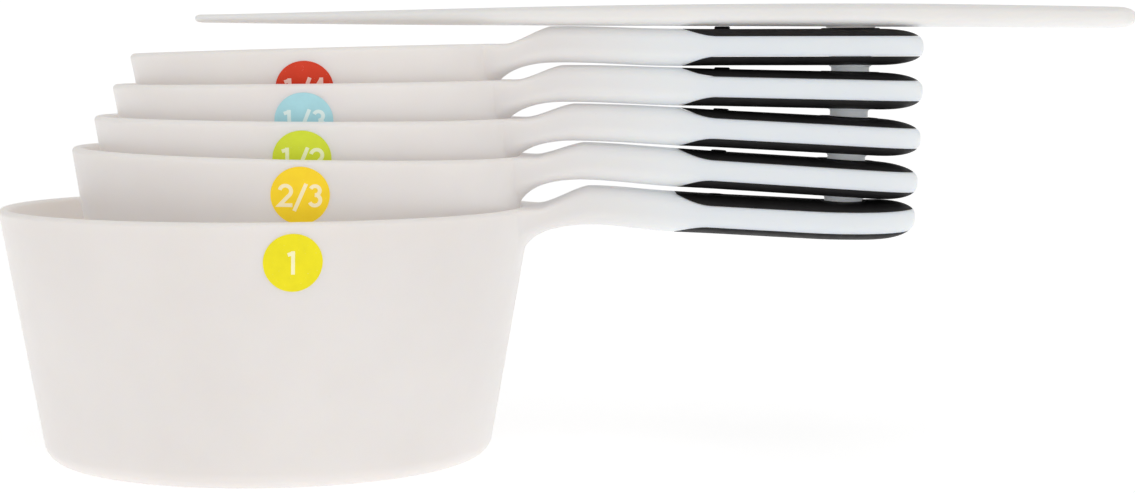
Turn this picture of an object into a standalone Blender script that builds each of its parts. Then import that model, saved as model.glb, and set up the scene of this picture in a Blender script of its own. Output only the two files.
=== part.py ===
"""A nested set of five measuring cups with a leveler snapped on top.

Each cup is one white moulding: a round bowl with drafted walls, a handle that grows out
of its rim, and, on every cup but the largest, a round snap stud under the handle.  Soft
grips are set into the top and the bottom of the handle.  The stud of a cup presses into the
collared socket in the top grip of the cup below, and the leveler does the same on top.

Lengths are in millimetres up to the point where a mesh is made, which is in metres.
The origin is the centre of the largest cup's flat base, +Z is up, handles point to +X.
"""

import math

import bmesh
import bpy
from mathutils import Matrix, Vector

MM = 0.001

# ---------------------------------------------------------------- bowls
WALL = 1.8                      # thickness of the bowl wall
FLOOR = 2.5                     # thickness of the bowl floor
DRAFT = math.radians(10.0)      # lean of the wall, wider at the rim
BASE_ROUND = 3.6                # outer round between wall and base
FLOOR_ROUND = 1.8               # inner round between wall and floor
LIP_ROUND = 0.8                 # rounds on both edges of the rim
BOWL_SEGMENTS = 44
ARC_STEPS = 2

# Cups from the largest to the smallest.  volume: what the bowl holds when full to the
# brim, in millilitres.  radius: outside of the rim.  shift: how far the rim's centre sits
# towards the handles.  rise: height of the rim above the rim of the cup below.
# tilt and slope: of the rim and of the handle, outer side down, in degrees.
# snap_z: height of the handle's middle at the snap.  neck_drop: middle of the neck below
# the plane of the rim.  girth: factor on the handle's height.  seams: heights of the white
# band's edges over the handle's middle.  curl: how strongly the handle's end turns up.
# dot_x and dot_depth: centre of the size dot, along X and below the rim.
CUPS = (
    {"name": "cup_1", "volume": 236.6, "radius": 47.6, "shift": 0.0, "rise": 0.0,
     "tilt": 0.0, "slope": 3.03, "snap_z": 42.3, "neck_drop": 0.0, "girth": 1.045,
     "seams": (1.74, -2.1), "curl": 0.0034, "dot_x": 9.5, "dot_depth": 6.6},
    {"name": "cup_2_3", "volume": 157.7, "radius": 40.9, "shift": 6.3, "rise": 9.9,
     "tilt": 1.3, "slope": 3.65, "snap_z": 49.9, "neck_drop": 0.8, "girth": 1.0,
     "seams": (1.95, -1.66), "curl": 0.0, "dot_x": 10.4, "dot_depth": 5.85},
    {"name": "cup_1_2", "volume": 118.3, "radius": 38.1, "shift": 7.45, "rise": 6.1,
     "tilt": 0.4, "slope": 3.05, "snap_z": 57.57, "neck_drop": 0.75, "girth": 1.0,
     "seams": (1.95, -1.66), "curl": 0.0, "dot_x": 10.2, "dot_depth": 6.2},
    {"name": "cup_1_3", "volume": 78.9, "radius": 35.6, "shift": 8.27, "rise": 6.15,
     "tilt": -0.6, "slope": 1.25, "snap_z": 65.68, "neck_drop": 0.78, "girth": 1.0,
     "seams": (1.95, -1.66), "curl": 0.0, "dot_x": 10.2, "dot_depth": 6.2},
    {"name": "cup_1_4", "volume": 59.1, "radius": 33.15, "shift": 8.95, "rise": 5.9,
     "tilt": -1.55, "slope": -0.12, "snap_z": 73.42, "neck_drop": 0.4, "girth": 0.98,
     "seams": (1.92, -1.66), "curl": 0.0, "dot_x": 10.2, "dot_depth": 7.0},
)

# ---------------------------------------------------------------- handles
FLARE_ROUND = 14.0              # plan round where the handle runs into the rim
ARCH_ROUND = 6.3                # round under the handle where it meets the wall
NECK_HALF_WIDTH = 7.5
NECK_HALF_HEIGHT = 3.27
NECK_STEPS = 3
SNAP_X = 103.4                  # snap axis of the largest cup's handle
LIP_DROP = 0.04                 # the handle's top starts this far below the rim
BURIED = 1.0                    # how deep the handle's root sits in the wall
BITE = 0.15                     # overlap along the tangent line, so the solids join
RAMP_START = 0.15               # share of the root that stays level with the rim
FLARE_STEPS = 6
SECTION_POINTS = 16
SECTION_POWER = 3.2             # superellipse power of the handle's cross-section
ROOT_POWER = 8.0                # and of its root, which is squarer

# Distance from the snap axis, half width and half height.
HANDLE_STATIONS = (
    (-31.0, 8.0, 3.36),
    (-24.0, 8.5, 3.33),
    (-12.0, 9.0, 3.33),
    (0.0, 9.2, 3.33),
)
HALF_HEIGHT = HANDLE_STATIONS[-1][2]
CURL_START = -6.0               # where a curled handle begins to turn up
NOSE_START = 4.0                # where the rounded end begins
NOSE_LENGTH = 9.0
NOSE_WIDTH_POWER = 2.3
NOSE_HEIGHT_POWER = 2.6
NOSE_STEPS = 4

# ---------------------------------------------------------------- grips
GRIP_START = -30.3              # front tip of the grips, from the snap axis
GRIP_RAMP = 6.2                 # length over which a grip reaches its full depth
SEAM_GAP = 0.3                  # clearance between a grip and the moulding
RAMP_STEPS = 4
SEAM_STEPS = 4

# ---------------------------------------------------------------- snaps
COLLAR_RADIUS = 5.2
COLLAR_HEIGHT = 0.06            # the collar is nearly flush with the grip
COLLAR_SKIRT = 0.9              # how deep the collar and the pip reach into the grip
SOCKET_RADIUS = 3.85
STUD_RADIUS = 3.5
STUD_ENTRY = 1.0                # how deep a stud stands in the collar below
PIP_OFFSET = -23.0
PIP_RADIUS = 1.4
PIP_HEIGHT = 0.2
ROUND_SEGMENTS = 18

# ---------------------------------------------------------------- size dots
DOT_RADIUS = 4.85
DOT_THICKNESS = 0.3
DOT_STAND_OFF = 0.3
DOT_SEGMENTS = 16

# ---------------------------------------------------------------- leveler
LEVELER_CLEARANCE = 0.34        # underside over the top collar
LEVELER_TILT = 0.25             # tip side up, in degrees
# Distance from the snap axis, half width and thickness along the blade.
LEVELER_STATIONS = (
    (-117.2, 6.0, 1.2),
    (-115.5, 7.3, 1.5),
    (-111.0, 8.0, 1.65),
    (-80.0, 8.4, 2.65),
    (-50.0, 8.8, 3.45),
    (-20.0, 9.3, 3.9),
    (10.0, 9.8, 4.1),
    (35.0, 10.0, 4.0),
    (45.5, 9.4, 3.85),
    (49.1, 7.2, 3.5),
    (50.9, 3.6, 2.5),
)
LEVELER_POWER = 3.2
SHANK_RADIUS = 2.5
SHANK_LENGTH = 1.6
POCKET_GAP = 0.3

# ---------------------------------------------------------------- colours
WHITE = (0.80, 0.77, 0.72)
WHITE_COOL = (0.74, 0.75, 0.75)
BLACK = (0.012, 0.011, 0.012)
DOT_COLOURS = {
    "cup_1": (0.86, 0.74, 0.02),
    "cup_2_3": (0.83, 0.53, 0.02),
    "cup_1_2": (0.55, 0.65, 0.03),
    "cup_1_3": (0.38, 0.64, 0.74),
    "cup_1_4": (0.62, 0.05, 0.02),
}


# ================================================================ helpers
def clear_scene():
    for obj in list(bpy.data.objects):
        bpy.data.objects.remove(obj, do_unlink=True)


def material(name, colour, roughness):
    mat = bpy.data.materials.new(name)
    mat.use_nodes = True
    shader = mat.node_tree.nodes["Principled BSDF"]
    shader.inputs["Base Color"].default_value = (*colour, 1.0)
    shader.inputs["Roughness"].default_value = roughness
    shader.inputs["Metallic"].default_value = 0.0
    mat.diffuse_color = (*colour, 1.0)
    return mat


def make_object(name, verts, faces):
    """A closed mesh object from points in millimetres."""
    mesh = bpy.data.meshes.new(name)
    mesh.from_pydata([Vector(v) * MM for v in verts], [], faces)
    work = bmesh.new()
    work.from_mesh(mesh)
    bmesh.ops.recalc_face_normals(work, faces=work.faces)
    work.to_mesh(mesh)
    work.free()
    obj = bpy.data.objects.new(name, mesh)
    bpy.context.scene.collection.objects.link(obj)
    return obj


def combine(obj, tool, operation):
    """Joins, cuts or intersects obj with tool, and removes the tool."""
    modifier = obj.modifiers.new(operation.title(), "BOOLEAN")
    modifier.operation = operation
    modifier.solver = "EXACT"
    modifier.object = tool
    bpy.context.view_layer.update()
    graph = bpy.context.evaluated_depsgraph_get()
    result = bpy.data.meshes.new_from_object(obj.evaluated_get(graph))
    obj.modifiers.clear()
    obj.data = result
    bpy.data.objects.remove(tool, do_unlink=True)
    return obj


def finish(obj, mat, parent):
    obj.data.materials.clear()
    obj.data.materials.append(mat)
    obj.data.shade_smooth()
    obj.data.set_sharp_from_angle(angle=math.radians(35.0))
    obj.parent = parent
    return obj


def smooth_step(t):
    t = min(max(t, 0.0), 1.0)
    return t * t * (3.0 - 2.0 * t)


def lerp(a, b, t):
    return a + (b - a) * t


def arc(centre, radius, start, end, steps):
    """Points (r, z) on an arc, angles in radians."""
    points = []
    for i in range(steps + 1):
        angle = lerp(start, end, i / steps)
        points.append((centre[0] + radius * math.cos(angle), centre[1] + radius * math.sin(angle)))
    return points


def revolve(name, profile, segments):
    """A solid turned about Z from (r, z) points; the first and last lie on the axis."""
    verts = [(0.0, 0.0, profile[0][1])]
    rim = profile[1:-1]
    for radius, height in rim:
        for i in range(segments):
            angle = 2.0 * math.pi * i / segments
            verts.append((radius * math.cos(angle), radius * math.sin(angle), height))
    verts.append((0.0, 0.0, profile[-1][1]))
    last = len(verts) - 1
    faces = []
    for i in range(segments):
        j = (i + 1) % segments
        faces.append((0, 1 + j, 1 + i))
        for row in range(len(rim) - 1):
            low = 1 + row * segments
            high = low + segments
            faces.append((low + i, low + j, high + j, high + i))
        top = 1 + (len(rim) - 1) * segments
        faces.append((top + i, top + j, last))
    return make_object(name, verts, faces)


def loft(name, rings):
    """A solid skinned over closed rings whose point i mirrors point -i across the width."""
    count = len(rings[0])
    verts = [point for ring in rings for point in ring]
    faces = []
    for row in range(len(rings) - 1):
        for i in range(count):
            j = (i + 1) % count
            low = row * count
            high = low + count
            faces.append((low + i, low + j, high + j, high + i))
    for base in (0, (len(rings) - 1) * count):
        half = count // 2
        faces.append((base, base + 1, base + count - 1))
        for i in range(1, half - 1):
            faces.append((base + i, base + i + 1, base + count - i - 1, base + count - i))
        faces.append((base + half - 1, base + half, base + half + 1))
    return make_object(name, verts, faces)


def section(half_width, top, bottom, power):
    """Points (y, z) of a superellipse between the heights top and bottom."""
    middle = (top + bottom) / 2.0
    half_height = (top - bottom) / 2.0
    points = []
    for i in range(SECTION_POINTS):
        angle = 2.0 * math.pi * i / SECTION_POINTS
        c = math.cos(angle)
        s = math.sin(angle)
        y = half_width * math.copysign(abs(c) ** (2.0 / power), c)
        z = middle + half_height * math.copysign(abs(s) ** (2.0 / power), s)
        points.append((y, z))
    return points


def cylinder(name, radius, bottom, top, x=0.0):
    profile = [(0.0, bottom), (radius, bottom), (radius, top), (0.0, top)]
    obj = revolve(name, profile, ROUND_SEGMENTS)
    obj.data.transform(Matrix.Translation((x * MM, 0.0, 0.0)))
    return obj


# ================================================================ bowls
def wall_radius(cup, height):
    """Outer radius of the wall at a height below the rim (height is negative)."""
    return cup["radius"] + height * math.tan(DRAFT)


def cavity_wall_radius(cup, height):
    return wall_radius(cup, height) - WALL / math.cos(DRAFT)


def round_at_foot(wall, bottom, radius):
    """Arc that joins a level bottom to the drafted wall."""
    height = bottom + radius
    centre = wall(height) - radius / math.cos(DRAFT)
    return arc((centre, height), radius, -math.pi / 2.0, -DRAFT, ARC_STEPS)


def cavity_profile(cup, depth):
    """Inside of the bowl, from the floor's centre up to the plane of the rim."""
    points = [(0.0, -depth)]
    points += round_at_foot(lambda z: cavity_wall_radius(cup, z), -depth, FLOOR_ROUND)
    points.append((cavity_wall_radius(cup, 0.0), 0.0))
    return points


def turned_volume(profile):
    """Volume in millilitres of the solid under a profile, as stacked cone slices."""
    total = 0.0
    for (r0, z0), (r1, z1) in zip(profile, profile[1:]):
        total += math.pi * (z1 - z0) * (r0 * r0 + r0 * r1 + r1 * r1) / 3.0
    return total / 1000.0


def depth_for_volume(cup):
    """Depth at which the bowl holds its volume, found by halving the interval."""
    low, high = 5.0, 80.0
    for _ in range(40):
        depth = (low + high) / 2.0
        if turned_volume(cavity_profile(cup, depth)) < cup["volume"]:
            low = depth
        else:
            high = depth
    return depth


def bowl(cup):
    """The bowl alone, in the cup's frame: the rim's centre is the origin."""
    bottom = -(cup["depth"] + FLOOR)
    outer_lip = (wall_radius(cup, -LIP_ROUND) - LIP_ROUND / math.cos(DRAFT), -LIP_ROUND)
    inner_lip = (cavity_wall_radius(cup, -LIP_ROUND) + LIP_ROUND / math.cos(DRAFT), -LIP_ROUND)
    profile = [(0.0, bottom)]
    profile += round_at_foot(lambda z: wall_radius(cup, z), bottom, BASE_ROUND)
    profile += arc(outer_lip, LIP_ROUND, -DRAFT, math.pi / 2.0, ARC_STEPS)
    profile += arc(inner_lip, LIP_ROUND, math.pi / 2.0, math.pi - DRAFT, ARC_STEPS)
    floor = round_at_foot(lambda z: cavity_wall_radius(cup, z), -cup["depth"], FLOOR_ROUND)
    profile += reversed(floor)
    profile.append((0.0, -cup["depth"]))
    return revolve(cup["name"], profile, BOWL_SEGMENTS)


# ================================================================ handles
def flare_end(cup):
    """X at which the handle's side leaves the plan round that joins it to the rim."""
    side = NECK_HALF_WIDTH + FLARE_ROUND
    return math.sqrt((cup["radius"] + FLARE_ROUND) ** 2 - side ** 2)


def flare_top(cup, x):
    """Height of the root's upper face at x: level with the rim, then a ramp to the neck."""
    u = (x - cup["radius"]) / (flare_end(cup) - cup["radius"])
    t = max((u - RAMP_START) / (1.0 - RAMP_START), 0.0)
    neck_top = NECK_HALF_HEIGHT * cup["girth"] - cup["neck_drop"]
    return lerp(-LIP_DROP, neck_top, 0.6 * t + 0.4 * smooth_step(t))


def flare_rings(cup):
    """Rings of the handle's root in the cup's frame, from inside the wall outwards."""
    radius = cup["radius"]
    end = flare_end(cup)
    side = NECK_HALF_WIDTH + FLARE_ROUND
    first_angle = math.atan2(-side, -end)
    neck_half = NECK_HALF_HEIGHT * cup["girth"]
    arch_z = -cup["neck_drop"] - neck_half - ARCH_ROUND
    arch_x = radius + ARCH_ROUND / math.cos(DRAFT) + arch_z * math.tan(DRAFT)
    rings = []
    for step in range(FLARE_STEPS + 1):
        u = step / FLARE_STEPS
        plan_angle = lerp(first_angle, -math.pi / 2.0, u)
        edge_x = end + FLARE_ROUND * math.cos(plan_angle)
        width = side + FLARE_ROUND * math.sin(plan_angle)
        side_angle = lerp(math.pi - DRAFT, math.pi / 2.0, u)
        low_x = arch_x + ARCH_ROUND * math.cos(side_angle) + (end - arch_x) * u * u
        bottom = arch_z + ARCH_ROUND * math.sin(side_angle)
        high_x = lerp(radius, end, u)
        top = flare_top(cup, high_x)
        sag = high_x - edge_x
        ring = []
        for y, z in section(width, top, bottom, lerp(ROOT_POWER, SECTION_POWER, u)):
            up = (z - bottom) / (top - bottom)
            x = lerp(low_x, high_x, up) - sag * (y / width) ** 2 - BITE * (1.0 - u)
            local_top = flare_top(cup, high_x - sag * (y / width) ** 2)
            ring.append(Vector((x, y, lerp(bottom, local_top, up))))
        rings.append(ring)
    root = []
    for point in rings[0]:
        inward = Vector((point.x, point.y, 0.0)).normalized() * BURIED
        root.append(point - inward)
    return [root] + rings


def nose_factor(a, power):
    t = (a - NOSE_START) / NOSE_LENGTH
    return (1.0 - t ** power) ** (1.0 / power)


def curl(cup, a):
    """How far the handle has turned up at a distance a from the snap axis."""
    return cup["curl"] * max(a - CURL_START, 0.0) ** 2


def handle_ring(cup, a, width, height, middle=0.0):
    """One upright ring of the handle, in the handle's frame."""
    middle += curl(cup, a)
    height *= cup["girth"]
    outline = section(width, middle + height, middle - height, SECTION_POWER)
    return [Vector((a, y, z)) for y, z in outline]


def neck_rings(cup):
    """Rings that bridge the root and the straight handle, in the handle's frame."""
    start = cup["to_handle"] @ Vector((flare_end(cup), 0.0, -cup["neck_drop"]))
    heading = cup["to_handle"].to_3x3() @ Vector((1.0, 0.0, 0.0))
    end, end_width, end_height = HANDLE_STATIONS[0]
    span = end - start.x
    rings = []
    for step in range(1, NECK_STEPS):
        t = step / NECK_STEPS
        ease = smooth_step(t)
        middle = (1.0 - ease) * start.z + t * (1.0 - t) ** 2 * span * heading.z / heading.x
        width = lerp(NECK_HALF_WIDTH, end_width, ease)
        height = lerp(NECK_HALF_HEIGHT, end_height, ease)
        rings.append(handle_ring(cup, lerp(start.x, end, t), width, height, middle))
    return rings


def straight_rings(cup):
    """Rings of the straight handle and its rounded end, in the handle's frame."""
    rings = [handle_ring(cup, *station) for station in HANDLE_STATIONS]
    full_width = HANDLE_STATIONS[-1][1]
    for step in range(NOSE_STEPS + 1):
        a = NOSE_START + NOSE_LENGTH * math.sin(0.97 * math.pi / 2.0 * step / NOSE_STEPS)
        width = full_width * nose_factor(a, NOSE_WIDTH_POWER)
        height = HALF_HEIGHT * nose_factor(a, NOSE_HEIGHT_POWER)
        rings.append(handle_ring(cup, a, width, height))
    return rings


def handle(cup, name):
    """The whole handle as one solid; its origin is the snap axis."""
    rings = [[cup["to_handle"] @ point for point in ring] for ring in flare_rings(cup)]
    return loft(name, rings + neck_rings(cup) + straight_rings(cup))


def inlay(cup, side, gap):
    """Block that holds a grip: everything beyond the seam, with a curved front ramp.

    side is 1 for the top grip and -1 for the bottom one; gap moves the seam and the
    ramp into the grip, or into the moulding where it is negative.
    """
    seam = cup["seams"][0 if side > 0 else 1]
    outer = side * 9.0
    outline = [(GRIP_START + gap, outer)]
    for step in range(RAMP_STEPS + 1):
        t = step / RAMP_STEPS
        z = lerp(side * HALF_HEIGHT, seam, math.sin(t * math.pi / 2.0)) + side * gap
        outline.append((GRIP_START + gap + GRIP_RAMP * t, z))
    far = NOSE_START + NOSE_LENGTH + 6.0
    for step in range(SEAM_STEPS + 1):
        a = lerp(CURL_START, far, step / SEAM_STEPS)
        outline.append((a, seam + side * gap + curl(cup, a)))
    outline.append((far, outer))
    half = 14.0
    count = len(outline)
    verts = [(x, -half, z) for x, z in outline] + [(x, half, z) for x, z in outline]
    faces = [tuple(range(count)), tuple(range(count, 2 * count))]
    for i in range(count):
        j = (i + 1) % count
        faces.append((i, j, count + j, count + i))
    return make_object("inlay", verts, faces)


# ================================================================ grips and snaps
def top_grip(cup, name):
    """Soft grip on top, with the low collar of the snap socket and a small pip."""
    grip = handle(cup, name)
    combine(grip, inlay(cup, 1, SEAM_GAP / 2.0), "INTERSECT")
    rim = HALF_HEIGHT + COLLAR_HEIGHT
    skirt = HALF_HEIGHT - COLLAR_SKIRT
    collar = cylinder("collar", COLLAR_RADIUS, skirt, rim)
    combine(grip, collar, "UNION")
    pip = cylinder("pip", PIP_RADIUS, skirt, HALF_HEIGHT + PIP_HEIGHT, PIP_OFFSET)
    combine(grip, pip, "UNION")
    socket = cylinder("socket", SOCKET_RADIUS, 0.0, rim + 1.0)
    combine(grip, socket, "DIFFERENCE")
    return grip


def bottom_grip(cup, name):
    """Soft grip underneath, with a hole for the stud where the cup has one."""
    grip = handle(cup, name)
    combine(grip, inlay(cup, -1, SEAM_GAP / 2.0), "INTERSECT")
    if cup["stud_tip"] is not None:
        hole = cylinder("hole", STUD_RADIUS + SEAM_GAP, -10.0, 0.0)
        combine(grip, hole, "DIFFERENCE")
    return grip


def cup_body(cup):
    """Bowl, handle and stud as one moulding, recessed for both grips."""
    body = handle(cup, cup["name"])
    combine(body, inlay(cup, 1, -SEAM_GAP / 2.0), "DIFFERENCE")
    combine(body, inlay(cup, -1, -SEAM_GAP / 2.0), "DIFFERENCE")
    shell = bowl(cup)
    shell.data.transform(metre_matrix(cup["to_handle"]))
    combine(body, shell, "UNION")
    if cup["stud_tip"] is not None:
        stud = cylinder("stud", STUD_RADIUS, cup["stud_tip"], 0.0)
        combine(body, stud, "UNION")
    return body


def size_dot(cup, name):
    """Thin round print on the bowl's front wall, bent to the wall."""
    centre_radius = wall_radius(cup, -cup["dot_depth"])
    heading = math.asin((cup["dot_x"] - cup["shift"]) / centre_radius)
    verts = []
    rings = 3
    for offset in (DOT_STAND_OFF, DOT_STAND_OFF + DOT_THICKNESS):
        for ring in range(rings):
            for i in range(DOT_SEGMENTS if ring else 1):
                angle = 2.0 * math.pi * i / DOT_SEGMENTS
                across = DOT_RADIUS * ring / (rings - 1) * math.cos(angle)
                up = DOT_RADIUS * ring / (rings - 1) * math.sin(angle)
                height = -cup["dot_depth"] + up * math.cos(DRAFT)
                turn = heading + across / centre_radius
                radius = wall_radius(cup, height) + offset
                verts.append((radius * math.sin(turn), -radius * math.cos(turn), height))
    per_side = 1 + (rings - 1) * DOT_SEGMENTS
    faces = []
    for i in range(DOT_SEGMENTS):
        j = (i + 1) % DOT_SEGMENTS
        for base in (0, per_side):
            faces.append((base, base + 1 + i, base + 1 + j))
            inner = base + 1
            outer = base + 1 + DOT_SEGMENTS
            faces.append((inner + i, outer + i, outer + j, inner + j))
        edge = 1 + DOT_SEGMENTS
        faces.append((edge + i, edge + j, per_side + edge + j, per_side + edge + i))
    dot = make_object(name, verts, faces)
    dot.data.transform(metre_matrix(cup["to_handle"]))
    return dot


# ================================================================ leveler
def leveler_blade():
    """Long flat scraper; its origin is the snap axis on the underside."""
    rings = []
    for a, width, thickness in LEVELER_STATIONS:
        rings.append([Vector((a, y, z)) for y, z in section(width, thickness, 0.0, LEVELER_POWER)])
    blade = loft("leveler_blade", rings)
    pocket = cylinder("pocket", SHANK_RADIUS + POCKET_GAP, -1.0, SHANK_LENGTH + POCKET_GAP)
    return combine(blade, pocket, "DIFFERENCE")


def leveler_stud(depth):
    """Snap stud under the leveler, with a shank set into the blade."""
    profile = [
        (0.0, -depth),
        (STUD_RADIUS - 0.5, -depth),
        (STUD_RADIUS, -depth + 0.5),
        (STUD_RADIUS, -POCKET_GAP),
        (SHANK_RADIUS, -POCKET_GAP),
        (SHANK_RADIUS, SHANK_LENGTH),
        (0.0, SHANK_LENGTH),
    ]
    return revolve("leveler_stud", profile, ROUND_SEGMENTS)


# ================================================================ assembly
def metre_matrix(matrix):
    """The same transform for points in metres."""
    result = matrix.copy()
    result.translation = matrix.translation * MM
    return result


def frame_at(x, z, tilt):
    """Frame at (x, 0, z), turned so that its +X side goes down by tilt radians."""
    return Matrix.Translation((x, 0.0, z)) @ Matrix.Rotation(tilt, 4, "Y")


def add_frames(cups):
    """Works out each cup's depth, its rim frame and its handle frame."""
    rim_z = depth_for_volume(cups[0]) + FLOOR
    collar = HALF_HEIGHT + COLLAR_HEIGHT
    socket = Vector((SNAP_X, 0.0, cups[0]["snap_z"]))
    for cup in cups:
        cup["depth"] = depth_for_volume(cup)
        rim_z += cup["rise"]
        rim_frame = frame_at(cup["shift"], rim_z, math.radians(cup["tilt"]))
        slope = math.radians(cup["slope"])
        spacing = cup["snap_z"] - socket.z
        snap_x = socket.x + spacing * math.tan(slope)
        cup["handle_frame"] = frame_at(snap_x, cup["snap_z"], slope)
        cup["to_handle"] = cup["handle_frame"].inverted() @ rim_frame
        cup["stud_tip"] = None if cup is cups[0] else -(spacing + STUD_ENTRY)
        socket = cup["handle_frame"] @ Vector((0.0, 0.0, collar))


def axis_empty(name, frame):
    empty = bpy.data.objects.new(name, None)
    empty.empty_display_size = 0.02
    empty.matrix_world = metre_matrix(frame)
    bpy.context.scene.collection.objects.link(empty)
    return empty


def main():
    clear_scene()
    white = material("white_plastic", WHITE, 0.32)
    white_cool = material("leveler_plastic", WHITE_COOL, 0.32)
    black = material("soft_grip", BLACK, 0.6)
    cups = [dict(cup) for cup in CUPS]
    add_frames(cups)
    for cup in cups:
        name = cup["name"]
        axis = axis_empty(name + "_axis", cup["handle_frame"])
        finish(cup_body(cup), white, axis)
        finish(top_grip(cup, name + "_top_grip"), black, axis)
        finish(bottom_grip(cup, name + "_bottom_grip"), black, axis)
        dot_paint = material(name + "_dot_paint", DOT_COLOURS[name], 0.45)
        finish(size_dot(cup, name + "_size_dot"), dot_paint, axis)

    top = cups[-1]
    lift = HALF_HEIGHT + COLLAR_HEIGHT + LEVELER_CLEARANCE
    snap = top["handle_frame"] @ Vector((0.0, 0.0, lift))
    frame = frame_at(snap.x, snap.z, math.radians(LEVELER_TILT))
    axis = axis_empty("leveler_axis", frame)
    finish(leveler_blade(), white_cool, axis)
    finish(leveler_stud(LEVELER_CLEARANCE + STUD_ENTRY), white_cool, axis)


main()
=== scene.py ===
"""Looks of a nested set of five measuring cups with a leveler snapped on top.

Every CAD node is replaced by a finer piece that holds the same place.  The driving
dimensions below are the model's own, in millimetres; each cup is drawn in the frame of
its rim or in the frame of its handle, whose origin is the snap axis, and then placed.
"""

import math

import bmesh
import bpy
from mathutils import Matrix, Vector


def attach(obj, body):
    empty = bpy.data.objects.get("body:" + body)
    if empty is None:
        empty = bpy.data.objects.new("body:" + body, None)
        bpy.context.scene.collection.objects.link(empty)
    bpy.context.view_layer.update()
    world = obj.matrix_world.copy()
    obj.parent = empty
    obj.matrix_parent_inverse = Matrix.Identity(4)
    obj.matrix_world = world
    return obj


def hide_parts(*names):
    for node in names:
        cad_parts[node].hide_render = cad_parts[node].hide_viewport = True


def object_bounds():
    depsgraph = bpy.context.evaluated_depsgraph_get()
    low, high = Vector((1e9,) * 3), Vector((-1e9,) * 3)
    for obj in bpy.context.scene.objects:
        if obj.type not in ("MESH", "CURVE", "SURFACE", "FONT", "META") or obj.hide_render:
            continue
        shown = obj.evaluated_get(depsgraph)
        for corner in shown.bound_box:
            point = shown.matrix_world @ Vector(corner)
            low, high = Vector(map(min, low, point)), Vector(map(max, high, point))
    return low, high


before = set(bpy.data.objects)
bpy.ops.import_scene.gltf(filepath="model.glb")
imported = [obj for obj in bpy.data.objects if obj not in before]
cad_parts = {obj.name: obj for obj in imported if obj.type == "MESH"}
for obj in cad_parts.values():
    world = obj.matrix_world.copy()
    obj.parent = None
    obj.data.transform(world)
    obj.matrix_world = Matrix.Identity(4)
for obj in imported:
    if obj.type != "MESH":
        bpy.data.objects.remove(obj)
CAD_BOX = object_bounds()
MM = 0.001

# ---------------------------------------------------------------- bowls
WALL = 1.8
FLOOR = 2.5
DRAFT = math.radians(10.0)
BASE_ROUND = 3.6
FLOOR_ROUND = 1.8
LIP_ROUND = 0.8
FOOT_WIDTH = 4.5                # ring that the bowl stands on
FOOT_RECESS = 0.45              # how far the middle of the base is set back
GATE_RADIUS = 2.1               # dimple left by the mould's gate
GATE_DEPTH = 0.3
GATE_NUB = 0.5                  # radius of the stub left in the dimple
LEAST_DEPTH, MOST_DEPTH = 5.0, 80.0     # between these a bowl's depth is looked for
BOWL_SEGMENTS = 192
ROUND_STEPS = 8
WALL_ROWS = 12

# volume in millilitres to the brim; radius outside the rim; shift of the rim's centre
# towards the handles; rise over the rim below; tilt of the rim and slope of the handle,
# outer side down, in degrees; snap_z, height of the handle's middle at the snap; drop of
# the neck's middle below the rim; girth, factor on the handle's height; seams, edges of the
# white band between the grips; curl of the handle's end; centre of the size dot, along X
# and below the rim; pip, height of the spacer on the top grip.
CUPS = (
    {"name": "cup_1", "volume": 236.6, "radius": 47.6, "shift": 0.0, "rise": 0.0,
     "tilt": 0.0, "slope": 3.03, "snap_z": 42.3, "neck_drop": 0.0, "girth": 1.045,
     "seams": (1.74, -2.1), "curl": 0.0034, "dot_x": 9.5, "dot_depth": 6.6, "pip": 0.27,
     "label": "1", "slot": "yellow_dot"},
    {"name": "cup_2_3", "volume": 157.7, "radius": 40.9, "shift": 6.3, "rise": 9.9,
     "tilt": 1.3, "slope": 3.65, "snap_z": 49.9, "neck_drop": 0.8, "girth": 1.0,
     "seams": (1.95, -1.66), "curl": 0.0, "dot_x": 10.25, "dot_depth": 5.85, "pip": 0.27,
     "label": "2/3", "slot": "amber_dot"},
    {"name": "cup_1_2", "volume": 118.3, "radius": 38.1, "shift": 7.45, "rise": 6.1,
     "tilt": 0.4, "slope": 3.05, "snap_z": 57.57, "neck_drop": 0.75, "girth": 1.0,
     "seams": (1.95, -1.66), "curl": 0.0, "dot_x": 10.2, "dot_depth": 6.2, "pip": 0.27,
     "label": "1/2", "slot": "lime_dot"},
    {"name": "cup_1_3", "volume": 78.9, "radius": 35.6, "shift": 8.27, "rise": 6.15,
     "tilt": -0.6, "slope": 1.25, "snap_z": 65.68, "neck_drop": 0.78, "girth": 1.0,
     "seams": (1.95, -1.66), "curl": 0.0, "dot_x": 10.2, "dot_depth": 6.2, "pip": 0.27,
     "label": "1/3", "slot": "blue_dot"},
    {"name": "cup_1_4", "volume": 59.1, "radius": 33.15, "shift": 8.95, "rise": 5.9,
     "tilt": -1.55, "slope": -0.12, "snap_z": 73.42, "neck_drop": 0.4, "girth": 0.98,
     "seams": (1.92, -1.66), "curl": 0.0, "dot_x": 9.95, "dot_depth": 6.9, "pip": 0.4,
     "label": "1/4", "slot": "red_dot"},
)

# ---------------------------------------------------------------- handles
FLARE_ROUND = 14.0              # plan round where the handle runs into the rim
ARCH_ROUND = 6.3                # round under the handle where it meets the wall
NECK_HALF_WIDTH = 7.5
NECK_HALF_HEIGHT = 3.3
SNAP_X = 103.4                  # snap axis of the largest cup's handle
LIP_DROP = 0.04                 # the root's upper face lies this far under the rim
BURIED = 1.0                    # how deep the root's first ring is set into the wall
BITE = 0.15                     # and the next one, so that both join cleanly
RAMP_START = 0.15               # share of the root that stays level with the rim
RAMP_STRAIGHT = 0.6             # how much of the ramp after it is straight, not eased
FLARE_STEPS = 26
SECTION_POINTS = 72
ROOT_POWER = 8.0
SECTION_POWER = 3.2
HANDLE_STEP = 1.6               # distance between rings along the handle

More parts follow.
